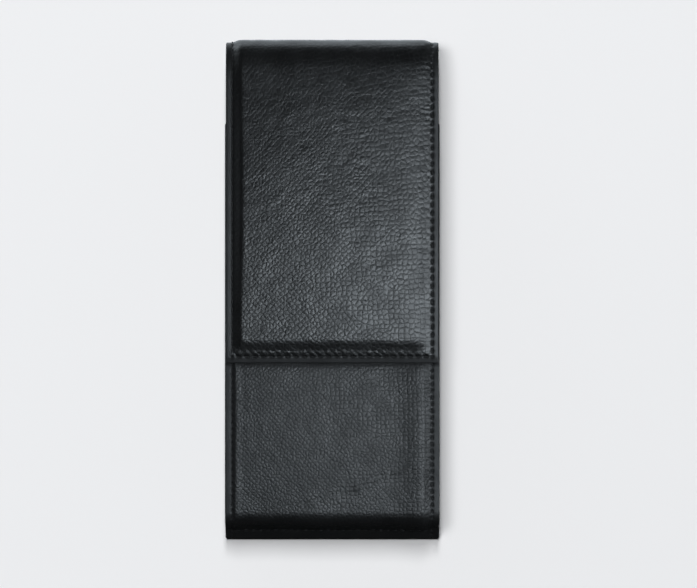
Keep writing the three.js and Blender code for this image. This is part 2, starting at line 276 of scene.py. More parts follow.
def mesh_object(name, verts, faces, slots=None, uv=None, smooth=None):
    """A mesh object, from points in millimetres. Its faces are smooth, or those that smooth says."""
    mesh = bpy.data.meshes.new(name)
    mesh.vertices.add(len(verts))
    mesh.vertices.foreach_set("co", (verts * MM).astype(np.float32).ravel())
    sides = faces.shape[1]
    mesh.loops.add(faces.size)
    mesh.loops.foreach_set("vertex_index", faces.astype(np.int32).ravel())
    mesh.polygons.add(len(faces))
    mesh.polygons.foreach_set("loop_start", np.arange(0, faces.size, sides, dtype=np.int32))
    mesh.polygons.foreach_set("loop_total", np.full(len(faces), sides, np.int32))
    if slots is not None:
        mesh.polygons.foreach_set("material_index", slots)
    mesh.update(calc_edges=True)
    mesh.polygons.foreach_set("use_smooth", np.ones(len(faces), bool) if smooth is None else smooth)
    if smooth is not None:
        edges = np.zeros(faces.size, np.int32)
        mesh.loops.foreach_get("edge_index", edges)
        sharp = np.zeros(len(mesh.edges), bool)
        sharp[edges[np.repeat(~smooth, sides)]] = True
        mesh.attributes.new("sharp_edge", "BOOLEAN", "EDGE").data.foreach_set("value", sharp)
    if uv is not None:
        layer = mesh.uv_layers.new(name="sheet")
        layer.data.foreach_set("uv", uv[faces.ravel()].astype(np.float32).ravel())
    mesh.validate()
    obj = bpy.data.objects.new(name, mesh)
    bpy.context.scene.collection.objects.link(obj)
    return obj


def sheet_grid(line, alongs, xs):
    """The points of an outer face that follows a line, and its normals, as grids."""
    point, normal = line.at(alongs)
    shape = (len(alongs), len(xs))
    grid = np.zeros((*shape, 3))
    grid[..., 0] = xs
    grid[..., 1:] = point[:, None]
    outward = np.zeros((*shape, 3))
    outward[..., 1:] = normal[:, None]
    return grid, outward


# ---------------- seams


def seam_profile(across, along, pitch, depth, swell=0.06):
    """How a row of stitches draws the leather down: a furrow, deepest under each stitch, with the leather
    bulging beside it on the panel's side. across is the distance inside the row, and along runs beside it."""
    stitch = 0.5 - 0.5 * np.cos(2 * math.pi * along / pitch)
    furrow = -depth * bump(across, 0, 0.44) * (0.15 + 0.95 * stitch)
    bulge = swell * bump(across, 1.2, 0.55) * (stitch - 0.3)
    return furrow + bulge


def seam_shade(across, along, pitch):
    """Painted shade: darker down in the furrow, most of all beside the stitches."""
    stitch = 0.5 - 0.5 * np.cos(2 * math.pi * along / pitch)
    return 1 - bump(across, 0, 0.45) * (0.1 + 0.85 * stitch**2)


def stitches(name, rows, thread=0.36, sides=8, rings=9):
    """Rows of stitches as one mesh: arched threads whose ends dive into the leather. A row holds the middles,
    directions, outward normals and length of its stitches."""
    angles = np.linspace(0, 2 * math.pi, sides, endpoint=False)
    reach = np.linspace(-1, 1, rings)
    rise = thread * (0.10 - 1.25 * np.abs(reach) ** 3.2)
    girth = thread / 2 * (1 - 0.25 * reach**6)
    verts = []
    one = np.arange(sides)
    after = (one + 1) % sides
    wall = np.stack([one, sides + one, sides + after, after], -1)
    walls = [wall + k * sides for k in range(rings - 1)]
    cap = np.array([(0, k, k + 1, k + 2) for k in range(1, sides - 2, 2)])
    stitch = np.concatenate([*walls, cap, cap[:, ::-1] + (rings - 1) * sides])
    for middles, ways, outward, length in rows:
        ways = ways / np.linalg.norm(ways, axis=1, keepdims=True)
        side = np.cross(ways, outward)
        side /= np.linalg.norm(side, axis=1, keepdims=True)
        up = np.cross(side, ways)
        centre = (
            middles[:, None]
            + ways[:, None] * (reach * length / 2)[None, :, None]
            + up[:, None] * rise[None, :, None]
        )
        circle = (
            side[:, None, None] * (np.cos(angles) * girth[:, None])[None, ..., None]
            + up[:, None, None] * (np.sin(angles) * girth[:, None])[None, ..., None]
        )
        verts.append((centre[:, :, None] + circle).reshape(-1, 3))
    verts = np.concatenate(verts)
    count = len(verts) // (sides * rings)
    faces = (stitch[None] + (np.arange(count) * sides * rings)[:, None, None]).reshape(-1, 4)
    return mesh_object(name, verts, faces)


# ---------------- the case's side view

LOWER_FOLD, UPPER_FOLD = 5.4, 4.5  # how far round each fold the hide takes to turn
FOLD_SHARPNESS = 1.3
FOLD_REACH = 26.0  # past this the hide is level
SLOPE_TOP = (BOTTOM_Y + 5.8, FRONT_LEVEL)
SLOPE_FOOT = (BOTTOM_Y + 3.8, 0.41 * FRONT_LEVEL)
MARGIN_END = (BOTTOM_Y + 0.3, LEATHER + 0.75)  # low enough for the cut edge to stand on the back
SLOPE_TOP_RADIUS = 4.6
SLOPE_FOOT_RADIUS = 2.0


def half_fold(size):
    """A fold from upright to level: how far in and up each point is, at even steps along the hide."""
    along = np.arange(0, FOLD_REACH, Line.STEP)
    tilt = np.radians(90) * np.exp(-((along / size) ** FOLD_SHARPNESS))
    inwards = np.r_[0, np.cumsum(np.cos(tilt) * Line.STEP)]
    up = np.r_[0, np.cumsum(np.sin(tilt) * Line.STEP)]
    return inwards, up


def make_flap_line():
    inwards, up = half_fold(UPPER_FOLD)
    start_z = FLAP_LEVEL - up[-1]
    fold = list(zip(TOP_Y - inwards, start_z + up))
    return Line([(TOP_Y, min(MID_SPINE_Z, start_z - 0.01)), *fold, (FLAP_EDGE_Y, FLAP_LEVEL)])


def make_back_line(mid_z):
    inwards, down = half_fold(LOWER_FOLD)
    fold = list(zip(TOP_Y - inwards, down[-1] - down))[::-1]
    return Line([(BOTTOM_Y, 0), *fold, (TOP_Y, max(mid_z, down[-1] + 0.01))])


def make_front_line():
    start = (MOUTH_Y, FRONT_LEVEL)
    top = fillet(start, SLOPE_TOP, SLOPE_FOOT, SLOPE_TOP_RADIUS)
    foot = fillet(SLOPE_TOP, SLOPE_FOOT, MARGIN_END, SLOPE_FOOT_RADIUS)
    return Line([start, *top, *foot, MARGIN_END])


flap_line = make_flap_line()
back_line = make_back_line(flap_line.points[0, 1])
front_line = make_front_line()
flap_end = flap_line.length

# ---------------- relief: how far each face stands out of its line

broad, fine, strain = Noise(11), Noise(23), Noise(37)
MARGIN_GRAIN = 0.35  # distance over which the grain fades in from the row of stitches
GRAIN_TURN = -0.0007 - 0.0004j  # how the rows of grain turn with the distance from the flap's right corner
FOLD_DIP = 0.7
SMOOTH_FOLD = flap_line.along_at(TOP_Y - 1.4)  # the grain starts here

ARCH, ARCH_ACROSS = 0.65, 0.25  # how high the padding arches, all over and towards its middle
ARCH_SOFTNESS = 0.02
LEVEL_END = 9  # the length of the flap's free end that doesn't arch
SHOULDER_FOOT = 1.0  # distances inside the row of stitches along the flap's free edge
SHOULDER_STEEP = 2.8
SHOULDER = 5.0
DROOP = 0.25  # how far the margin at the free edge hangs down


def flap_seam_distances(x, s):
    """Distance inside the flap's side rows of stitches, and inside the row along its free edge."""
    return SEAM_X - np.abs(x), (flap_end - SEAM_INSET) - s


def fold_dip(x, from_fold):
    """Round the fold the stitched margins lie a little inside the padded middle."""
    return -FOLD_DIP * smoothstep(2.6, -0.3, SEAM_X - np.abs(x)) * smoothstep(19, 7, from_fold)


def flap_form(x, s):
    """The padding's rise inside its stitched margins, with a low crown, and the hide's slight unevenness."""
    side, end = flap_seam_distances(x, s)
    side_rise = smoothstep(np.where(x < 0, -0.5, -0.2), np.where(x < 0, 3.2, 5.4), side)
    run = np.clip(end - SHOULDER_FOOT, 0, SHOULDER)
    eased = np.maximum(run - SHOULDER_STEEP, 0) ** 2 / (2 * (SHOULDER - SHOULDER_STEEP))
    end_rise = (run - eased) / ((SHOULDER_STEEP + SHOULDER) / 2)
    fold_rise = smoothstep(1, 15, s)
    middle = flap_end / 2
    arch = 1 - ((s - middle) / np.where(s < middle, middle, middle - LEVEL_END)) ** 2
    arch = (arch + np.sqrt(arch**2 + ARCH_SOFTNESS)) / 2
    crown = (ARCH + ARCH_ACROSS * (1 - (x / HALF) ** 2)) * arch
    swell = 0.12 * bump(end, 6.0, 2.2)
    sag = 0.16 * broad(x / 21 + 3, s / 24) + 0.05 * broad(x / 8 + 9, s / 9 + 5)
    inside = smoothstep(0, np.where(x < 0, 4.0, 9.5), side)
    raised = PADDING_RISE * side_rise * end_rise + (crown + sag * smoothstep(0, 20, end) + swell) * inside
    droop = -DROOP * smoothstep(0.8, -1.8, end)
    return raised * fold_rise + fold_dip(x, s) + droop


def flap_side_depth(x):
    """The flap's right row is sewn tight. Its left row lies in the shadow of the padding, and is shallow."""
    return np.where(x < 0, 0.10, 0.42)


def flap_detail(x, s):
    """The flap's rows of stitches, fine unevenness, and short wrinkles at the right row near the fold."""
    side, end = flap_seam_distances(x, s)
    rows = seam_profile(side, s, FLAP_PITCH, flap_side_depth(x)) * smoothstep(-1.0, 0.2, end)
    rows = rows + seam_profile(end, x, FLAP_PITCH, 0.42, 0.15) * smoothstep(-1.0, 0.2, side)
    rows = rows + 0.08 * bump(end, 1.25, 0.5) * smoothstep(0.5, 2.5, side)
    inside = smoothstep(0.5, 2.5, side) * smoothstep(0.5, 2.5, end)
    uneven = 0.035 * fine(x / 2.6, s / 2.2) + 0.02 * fine(x / 1.2 + 7, s / 1.1 + 2)
    fold = flap_line.along_at(TOP_Y - 7)
    near_right = smoothstep(4.4, 0.6, SEAM_X - x) * smoothstep(SEAM_X + 0.3, SEAM_X - 0.4, x)
    stretch = smoothstep(fold - 4, fold + 3, s) * smoothstep(fold + 27, fold + 18, s)
    waves = np.sin(2 * math.pi * (s + 0.7 * fine(x / 2.2, s / 2.6)) / 1.6 + 0.35 * (SEAM_X - x))
    wrinkles = 0.05 * waves * near_right * stretch * (0.6 + 0.8 * strain(x / 1.6, s / 2.4))
    return rows + uneven * inside + wrinkles


def border_rounding(x, s, half, length):
    """The cut edges are rubbed down, so the face falls a little towards them."""
    edge = np.minimum(half - np.abs(x), length - s)
    return -0.03 * smoothstep(0.8, 0.2, edge)


front_bottom_row = front_line.along_at(BOTTOM_Y + 3.2)
front_slope = front_line.along_at(SLOPE_TOP[0])
front_at_flap_edge = front_line.along_at(FLAP_EDGE_Y)

# Worn creases low on the pocket: where each starts, across and along, how it climbs, and how far it runs.
CREASES = (
    (-1.0, front_slope - 9.5, 0.28, 33.0),
    (6.0, front_slope - 13.0, 0.30, 26.0),
    (-16.0, front_slope - 5.5, 0.22, 30.0),
)


def front_seam_distances(x, s):
    """Distance inside the pocket's side rows of stitches, and above the row along its bottom."""
    return SEAM_X - np.abs(x), front_bottom_row - s


def front_form(x, s):
    """The pocket's front: ridges beside its seams, a shallow hollow to the right of the middle, and the dent
    that the closed flap's edge has pressed into it. Under the closed flap it is pressed nearly flat."""
    side, end = front_seam_distances(x, s)
    left_ridge = 0.18 * bump(side, 0.9, 1.3) * (x < 0)
    right_ridge = 0.70 * bump(side, 3.4, 5.2) * smoothstep(-3.0, 4.0, side) * (x > 0)
    rise = 0.5 * smoothstep(-0.6, np.where(x < 0, 1.1, 3.4), side)
    level = smoothstep(-2, 5, end)
    from_flap = s - front_at_flap_edge
    dent = -0.5 * np.where(from_flap > 0, np.exp(-np.abs(from_flap) / 1.5), smoothstep(-9, 0, from_flap))
    sag = 0.14 * broad(x / 19 + 31, s / 22 + 12) + 0.06 * broad(x / 8 + 4, s / 8 + 40)
    free = 0.2 + 0.8 * smoothstep(-9, 1, from_flap)
    relief = (left_ridge + right_ridge + sag) * free + dent
    return rise * free * (0.25 + 0.75 * level) + relief * level * smoothstep(-0.3, 3, side)


def front_detail(x, s):
    """The pocket's rows of stitches, fine unevenness, and its worn creases."""
    side, end = front_seam_distances(x, s)
    rows = seam_profile(side, s, SIDE_PITCH, 0.42)
    rows = rows + seam_profile(end, x, BOTTOM_PITCH, 0.34) * smoothstep(-0.6, 0.6, side)
    inside = smoothstep(0.5, 2.5, side) * smoothstep(0.5, 2.0, end)
    uneven = 0.035 * fine(x / 2.2 + 20, s / 2.0 + 9) + 0.02 * fine(x / 1.1 + 3, s / 1.0 + 8)
    crease = 0
    for low_x, low_s, rise, reach in CREASES:
        off = (s - low_s) + rise * (x - low_x) + 0.8 * fine(x / 5 + low_s, 1.5)
        run = smoothstep(low_x - 3, low_x + 5, x) * smoothstep(low_x + reach + 3, low_x + reach - 6, x)
        crease = crease + run * (0.05 * bump(off, 0.55, 0.5) - 0.10 * bump(off, 0, 0.32))
    return rows + (uneven + crease) * inside


def grain_amount(side, end):
    """The grain is full inside the rows of stitches, and there is none on the borders."""
    return smoothstep(0.0, MARGIN_GRAIN, side) * smoothstep(0.0, MARGIN_GRAIN, end)


def flap_grain(x, s):
    """The grain is pressed smooth over the fold, stretched thin beside the right seam, and deepest towards
    the flap's free right corner."""
    off_fold = smoothstep(SMOOTH_FOLD - 0.4, SMOOTH_FOLD + 1.2, s)
    depth = 0.62 + 0.40 * smoothstep(5, 95, s) * smoothstep(-70, 5, x)
    side, end = flap_seam_distances(x, s)
    stretched = 1 - 0.5 * smoothstep(3.5, 1.0, side) * smoothstep(45, 60, s) * (x > 0)
    return grain_amount(side, end) * off_fold * depth * stretched


# ---------------- leather parts


def places_across(half, step=0.46, fine_step=0.2):
    """Places across a panel, closer together about its side rows of stitches."""
    return spread(-half, half, [-half, -SEAM_X, SEAM_X, half], step, fine_step, 2.6)


def make_sheet(name, line, alongs, xs, form, detail, thickness, grain, shade, fineness=1.0, flat_ends=()):
    """An outer leather part. form, detail, grain and shade are functions of the places on it."""
    points, outward = sheet_grid(line, alongs, xs)
    x, s = np.meshgrid(xs, alongs)
    formed = form(x, s)
    smooth = points + outward * formed[..., None]
    face = points + outward * (formed + detail(x, s))[..., None]
    uv = grain_coordinates(x, s) * fineness
    return shell(name, face, smooth, thickness, uv, grain(x, s), shade(x, s), flat_ends=flat_ends)


def grain_coordinates(x, s):
    """Sheet coordinates for the grain, in millimetres from the flap's free right corner. They turn a little
    towards the fold, without stretching the grain, and wander."""
    place = (x - SEAM_X) + 1j * (s - flap_end)
    place = place + GRAIN_TURN * place**2
    u = place.real * (1 + 0.15 * smoothstep(95, 15, s)) + 0.4 * broad(x / 17, s / 17)
    v = place.imag + 0.4 * broad(x / 16 + 5, s / 16)
    return np.stack([u, v], -1)


def flap_shade(x, s):
    """Painted shade: darker in the furrows and over the margin at the free edge."""
    side, end = flap_seam_distances(x, s)
    sides = seam_shade(side, s, FLAP_PITCH)
    ends = np.where(side > -0.5, seam_shade(end, x, FLAP_PITCH), 1)
    # painted shade: the margin beyond the row along the free edge is darkened
    return sides * ends * (1 - 0.6 * smoothstep(0.2, -0.5, end))


def make_flap():
    half = HALF - EDGE
    alongs = spread(0, flap_end - EDGE, [flap_end - SEAM_INSET], 0.34, 0.26, 3)
    return make_sheet(
        "flap_leather",
        flap_line,
        alongs,
        places_across(half),
        lambda x, s: flap_form(x, s) + border_rounding(x, s, HALF, flap_end),
        flap_detail,
        LEATHER,
        flap_grain,
        flap_shade,
        flat_ends=("start",),
    )


def front_shade(x, s):
    """Painted shade: darker in the furrows, and in a line just below the closed flap's edge, where its shadow
    falls.
    """
    rows = seam_shade(SEAM_X - np.abs(x), s, SIDE_PITCH) * seam_shade(front_bottom_row - s, x, BOTTOM_PITCH)
    # painted shade: the dark line under the flap's edge stays painted even with the flap open
    return rows * (1 - 0.8 * bump(s - front_at_flap_edge, 0.25, 0.9))


def make_front():
    half = POCKET_HALF - EDGE
    length = front_line.length
    alongs = spread(0, length - EDGE, [front_bottom_row], 0.34, 0.24, 3)
    return make_sheet(
        "front_leather",
        front_line,
        alongs,
        places_across(half),
        lambda x, s: front_form(x, s) + border_rounding(x, s, POCKET_HALF, length),
        front_detail,
        LEATHER,
        lambda x, s: 1.15 * grain_amount(*front_seam_distances(x, s)),
        front_shade,
        fineness=1.15,
    )


BACK_SEAM_DEPTH = 0.28


def back_seam_distances(x, s):
    return SEAM_X - np.abs(x), s - SEAM_INSET


def back_form(x, s):
    """The back lies flat on its middle, so it only falls away from the table towards its edges."""
    edge = np.minimum(HALF - np.abs(x), s)
    return -0.16 * smoothstep(0.9, 0.0, edge) + fold_dip(x, back_line.length - s)


def back_detail(x, s):
    """Its rows of stitches, drawn in as on the flap where the two halves of the hide meet in the fold."""
    side, end = back_seam_distances(x, s)
    near_join = smoothstep(14, 2, back_line.length - s)
    depth = BACK_SEAM_DEPTH + (flap_side_depth(x) - BACK_SEAM_DEPTH) * near_join
    rows = np.minimum(seam_profile(side, back_line.length - s, FLAP_PITCH, depth), 0)
    return rows + np.minimum(seam_profile(end, x, FLAP_PITCH, BACK_SEAM_DEPTH), 0) * smoothstep(-1, 0.2, side)


def make_back():
    alongs = spread(EDGE, back_line.length, [SEAM_INSET], 0.5, 0.26, 3)
    return make_sheet(
        "back_leather",
        back_line,
        alongs,
        places_across(HALF - EDGE, step=0.6, fine_step=0.24),
        back_form,
        back_detail,
        LEATHER,
        lambda x, s: 0.7 * grain_amount(*back_seam_distances(x, s)) * smoothstep(5, 15, back_line.length - s),
        # painted shade in the furrows of the back's rows of stitches
        lambda x, s: seam_shade(SEAM_X - np.abs(x), back_line.length - s, FLAP_PITCH),
        flat_ends=("end",),
    )


# ---------------- linings and gussets

THIN_EDGE = 0.25
LINING_HALF = HALF - 0.4
INNER_HALF = HALF - 4.7  # the pocket's inside, between the flanges of the gussets
SLOPE_TUCK = 1.7  # how much narrower the front lining is on the bottom slope
FLANGE_EDGE = HALF - 0.3
WALL_X = HALF - 3.4
FLANGE_BEND = 0.9
GUSSET_FOLD = 2.0
GUSSET_DEPTH = LINING_DEPTH + GUSSET


def lining_grid(line, depth, alongs, halves, columns=90):
    """The inner side of a sheet that follows a line at a depth. halves gives its half width at each place."""
    point, outward = line.at(alongs)
    share = np.linspace(1, -1, columns)
    grid = np.zeros((len(alongs), columns, 3))
    grid[..., 0] = share * halves[:, None]
    grid[..., 1:] = (point - outward * np.reshape(depth, (-1, 1)))[:, None]
    uv = np.stack([grid[..., 0], np.repeat(alongs[:, None], columns, 1)], -1)
    return grid, uv


def make_lining(name, line, depth, alongs, halves, flat_ends=(), dip=None):
    grid, uv = lining_grid(line, depth + LINING, alongs, halves)
    x, s = uv[..., 0], uv[..., 1]
    if dip:
        grid[..., 1:] += line.at(alongs)[1][:, None] * dip(x, s)[..., None]
    uneven = 0.05 * broad(x / 9 + depth, s / 9) + 0.02 * fine(x / 3, s / 3 + depth)
    face = grid + normals_of(grid) * uneven[..., None]
    return shell(name, face, grid, LINING, uv, edge=THIN_EDGE, flat_ends=flat_ends)


def make_flap_lining():
    alongs = np.linspace(0, flap_end - 0.4, 260)
    halves = np.full(len(alongs), LINING_HALF)
    return make_lining("flap_lining_leather", flap_line, LINING_DEPTH, alongs, halves, ("start",), fold_dip)


def make_back_lining():
    """Narrow and over the board in the pocket, and past its mouth wide and close under the leather."""
    start = back_line.along_at(SLOPE_FOOT[0] + 1)
    mouth = back_line.along_at(MOUTH_Y)
    alongs = np.linspace(start, back_line.length, 320)
    halves = INNER_HALF + (LINING_HALF - INNER_HALF) * smoothstep(mouth - 0.8, mouth + 0.8, alongs)
    board = smoothstep(back_line.along_at(TOP_Y - 8), mouth + 8, alongs)
    depth = LINING_DEPTH + (GUSSET + LAYER_GAP) * board
    grid, uv = lining_grid(back_line, depth + LINING, alongs, halves, columns=110)
    x, s = uv[..., 0], uv[..., 1]
    grid[..., 1:] += back_line.at(alongs)[1][:, None] * fold_dip(x, back_line.length - s)[..., None]
    face = grid + normals_of(grid) * (0.05 * broad(x / 9, s / 9))[..., None]
    return shell("back_lining_leather", face, grid, LINING, uv, edge=THIN_EDGE, flat_ends=("end",))


def make_front_lining():
    depth = GUSSET_DEPTH + LAYER_GAP
    alongs = np.linspace(0.4, front_line.length - 1.5, 300)
    halves = INNER_HALF - SLOPE_TUCK * smoothstep(front_slope - 5, front_slope - 2, alongs)
    return make_lining("front_lining_leather", front_line, depth, alongs, halves)


def make_mouth_facing():
    depth = GUSSET_DEPTH + LINING + 0.1
    alongs = np.linspace(0.35, 11, 60)
    halves = np.full(len(alongs), INNER_HALF - 0.9)
    return make_lining("mouth_facing_leather", front_line, depth, alongs, halves)


def gusset_section():
    """The gusset's outer face from its upper flange to its lower: how far out each point is, how far the fold
    at half height draws it in, and its share of the height."""
    points = []
    for x in np.linspace(FLANGE_EDGE, WALL_X + FLANGE_BEND, 8):
        points.append((x, 0.0, 1.0))
    for turn in np.radians(np.linspace(10, 90, 6)):
        x = WALL_X + FLANGE_BEND - FLANGE_BEND * math.sin(turn)
        points.append((x, 0.0, 1 - 0.07 * (1 - math.cos(turn))))
    for height in np.linspace(0.9, 0.5, 12):
        share = (1 - height) / 0.5
        points.append((WALL_X, smoothstep(0.0, 1.25, share) / smoothstep(0.0, 1.25, 1.0), height))
    lower = [(x, fold, 1 - height) for x, fold, height in reversed(points[:-1])]
    return np.array(points + lower)


def make_gusset(name, side):
    """A gusset between the pocket's front and back, on one side, folded inwards along its middle."""
    alongs = np.linspace(1.2, front_line.length - 0.45, 400)
    point, outward = front_line.at(alongs)
    low = GUSSET_DEPTH
    under_front = point - outward * low
    top = under_front[:, 1]
    section = gusset_section()
    room = np.clip((top - low) / (FRONT_LEVEL - 2 * low), 0.02, 1)
    grid = np.zeros((len(alongs), len(section), 3))
    fold = GUSSET_FOLD * section[:, 1] * room[:, None]
    s = np.repeat(alongs[:, None], len(section), 1)
    t = np.repeat(np.linspace(0, 20, len(section))[None], len(alongs), 0)
    give = 0.14 * broad(s / 11 + 7 * side, t / 9) * section[:, 1]
    grid[..., 0] = section[:, 0] - fold + give
    grid[..., 1] = under_front[:, :1]
    grid[..., 2] = low + (np.maximum(top, low + 0.05) - low)[:, None] * section[:, 2]
    if side < 0:
        grid[..., 0] *= -1
        grid = grid[:, ::-1]
    uv = np.stack([t, s], -1)
    return shell(name, grid, grid, GUSSET, uv, edge=THIN_EDGE + 0.1)


# ---------------- rows of stitches


STITCH_LIFT = 0.14  # how far a stitch stands out of the bottom of its furrow
STITCH_SUNK = 0.24  # how far the back's stitches lie inside it, where the case lies on them
STITCH_SHARE = 0.84  # of the pitch, the rest being the gap between two stitches
STITCH_LEAN = 0.10


def row_at(line, relief, x, s, ways, pitch, lift, inner):
    """A row of stitches with their middles at x and s, on the outer face, or at a depth on the inner."""
    point, outward = line.at(s)
    raised = relief(x, s) + lift if inner is None else np.full(len(s), -inner)
    normals = np.column_stack([np.zeros(len(s)), outward])
    places = np.column_stack([x, point + outward * raised[:, None]])
    return places, ways, normals if inner is None else -normals, STITCH_SHARE * pitch


def row_along(line, relief, x, start, end, pitch, lift=0.0, inner=None, origin=0.0):
    """A row along a line. Its stitches are counted from the origin, and lean a little."""
    first, last = math.ceil((start - origin) / pitch), math.floor((end - origin) / pitch)
    middles = (np.arange(first, last) + 0.5) * pitch + origin
    ahead = line.at(middles + 0.05)[0] - line.at(middles)[0]
    ways = np.column_stack([np.zeros(len(middles)), ahead])
    ways[:, 0] = STITCH_LEAN * np.linalg.norm(ways, axis=1) * (1 if x > 0 else -1)
    return row_at(line, relief, np.full(len(middles), x), middles, ways, pitch, lift, inner)


def row_across(line, relief, along, half, pitch, lift=0.0, inner=None):
    """A row across a line."""
    count = math.floor(half / pitch)
    xs = (np.arange(-count, count) + 0.5) * pitch
    ways = np.tile([1.0, 0.0, 0.0], (len(xs), 1))
    return row_at(line, relief, xs, np.full(len(xs), along), ways, pitch, lift, inner)


def flap_face(x, s):
    return flap_form(x, s) + flap_detail(x, s)


def front_face(x, s):
    return front_form(x, s) + front_detail(x, s)


def back_face(x, s):
    return back_form(x, s) + back_detail(x, s)


def make_flap_stitches():
    """The flap's rows show on its outer face and on its lining."""
    end = flap_end - SEAM_INSET
    faces = ({"lift": STITCH_LIFT}, {"inner": LINING_DEPTH + LINING - 0.1})
    rows = []
    for x in (-SEAM_X, SEAM_X):
        for face in faces:
            rows.append(row_along(flap_line, flap_face, x, 0, end, FLAP_PITCH, **face))
    for face in faces:
        rows.append(row_across(flap_line, flap_face, end, SEAM_X, FLAP_PITCH, **face))
    return stitches("flap_stitches", rows)


def back_row_height(x, s):
    """The back's stitches are sunk where it lies on the table, and stand out round the fold."""
    out = smoothstep(12, 5, back_line.length - s)
    return back_face(x, s) - STITCH_SUNK + (STITCH_SUNK + STITCH_LIFT) * out


def make_back_stitches():
    end = back_line.length
    rows = []
    for x in (-SEAM_X, SEAM_X):
        rows.append(row_along(back_line, back_row_height, x, SEAM_INSET, end, FLAP_PITCH, origin=end))
    rows.append(row_across(back_line, back_row_height, SEAM_INSET, SEAM_X, FLAP_PITCH))
    return stitches("back_stitches", rows)


def make_front_stitches(name, x):
    end = front_line.length - 1.2
    return stitches(name, [row_along(front_line, front_face, x, 0.6, end, SIDE_PITCH)])


def make_bottom_stitches():
    return stitches(
        "bottom_stitches",
        [row_across(front_line, front_face, front_bottom_row, SEAM_X - 0.8, BOTTOM_PITCH)],
    )


def make_mouth_stitches():
    inner = GUSSET_DEPTH + 2 * LINING + LAYER_GAP
    rows = [
        row_across(front_line, front_face, SEAM_INSET, SEAM_X - 1.5, FLAP_PITCH),
        row_across(front_line, front_face, SEAM_INSET, INNER_HALF - 2, FLAP_PITCH, inner=inner),
    ]
    return stitches("mouth_stitches", rows)


# ---------------- materials


class Nodes:
    """A material's node tree, made a node at a time. A keyword i3 gives the node's input number 3."""

    def __init__(self, name):
        self.material = bpy.data.materials.new(name)
        self.material.use_nodes = True
        self.tree = self.material.node_tree
        self.shader = self.tree.nodes["Principled BSDF"]

    def add(self, kind, output=0, settings=None, **inputs):
        node = self.tree.nodes.new(kind)
        for key, value in (settings or {}).items():
            setattr(node, key, value)
        for key, value in inputs.items():
            self.set(node.inputs[int(key[1:])], value)
        return node.outputs[output]

    def set(self, socket, value):
        if isinstance(value, bpy.types.NodeSocket):
            self.tree.links.new(value, socket)
        else:
            socket.default_value = value

    def shade(self, **inputs):
        for key, value in inputs.items():
            self.set(self.shader.inputs[key.replace("_", " ")], value)
        return self.material

    def math(self, operation, a, b=0.0):
        return self.add("ShaderNodeMath", settings={"operation": operation}, i0=a, i1=b)

    def map(self, value, low, high, to_low=0.0, to_high=1.0, smooth=True):
        kind = {"interpolation_type": "SMOOTHSTEP" if smooth else "LINEAR"}
        limits = {"i1": low, "i2": high, "i3": to_low, "i4": to_high}
        return self.add("ShaderNodeMapRange", settings=kind, i0=value, **limits)

    def mix(self, share, a, b):
        """Two colours mixed by a share."""
        return self.add("ShaderNodeMix", output=2, settings={"data_type": "RGBA"}, i0=share, i6=a, i7=b)

    def attribute(self, name):
        return self.add("ShaderNodeAttribute", output=2, settings={"attribute_name": name})

    def sheet(self):
        return self.add("ShaderNodeUVMap", settings={"uv_map": "sheet"})

    def scaled(self, vector, across, along):
        settings = {"operation": "MULTIPLY"}
        return self.add("ShaderNodeVectorMath", settings=settings, i0=vector, i1=(across, along, 1))

    def noise(self, vector, scale, detail=2.0, output=0):
        flat = {"noise_dimensions": "2D"}
        return self.add("ShaderNodeTexNoise", output=output, settings=flat, i0=vector, i2=scale, i3=detail)

    def cells(self, vector, scale, randomness):
        settings = {"feature": "DISTANCE_TO_EDGE", "voronoi_dimensions": "2D"}
        return self.add("ShaderNodeTexVoronoi", settings=settings, i0=vector, i2=scale, i8=randomness)

    def bump(self, height, distance, strength=1.0):
        return self.add("ShaderNodeBump", i0=strength, i1=distance, i3=height)


PEBBLE = 1.75  # the pebbles' size
PEBBLE_RELIEF = 0.012  # the height that a bump of 1 stands for
PEBBLE_SPIN = math.radians(40)  # how far the rows of pebbles are turned on the left
WANDER = (0.6, 0.6, 0)
# The leather's black in painted shade and unshaded, mixed by the painted shade of furrows and creases.
SHADED_BLACK = (0.0015, 0.0016, 0.0018, 1)
UNSHADED_BLACK = (0.0036, 0.0039, 0.0042, 1)


